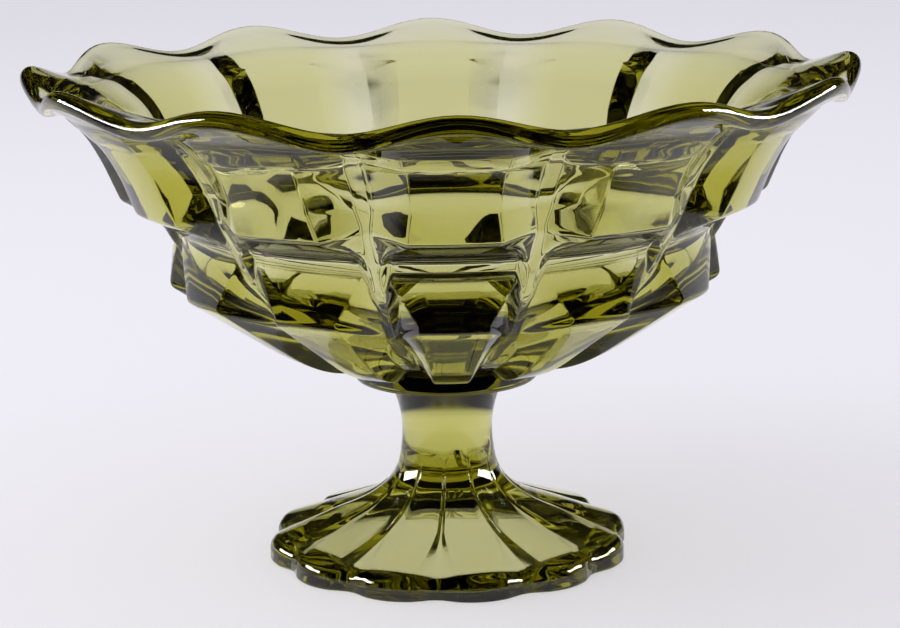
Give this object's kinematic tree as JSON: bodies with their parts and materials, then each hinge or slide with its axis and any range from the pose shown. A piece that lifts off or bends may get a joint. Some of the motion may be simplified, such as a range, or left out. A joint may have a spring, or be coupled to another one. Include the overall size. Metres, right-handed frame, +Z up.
{
  "type": "footed compote bowl",
  "caption": "Pressed-glass compote bowl with a wavy flared rim and stepped, grooved panels, on a collar disc and a flared stem with a petal foot.",
  "frame": {"origin": "on the table, in the middle of the ring that the foot rests on", "axes": "+Z up along the axis of bowl and stem, -Y towards the viewer of the picture through the crest of a panel, +X to the viewer's right"},
  "size_m": [0.28, 0.28, 0.17],
  "materials": {
    "bowl_glass": "clear olive-green pressed glass, fire-polished",
    "collar_glass": "clear olive-green glass, fire-polished",
    "foot_glass": "clear olive-green pressed glass, fire-polished"
  },
  "bodies": {
    "root": {"bowl": "bowl_glass", "collar": "collar_glass", "foot": "foot_glass"}
  },
  "joints": []
}
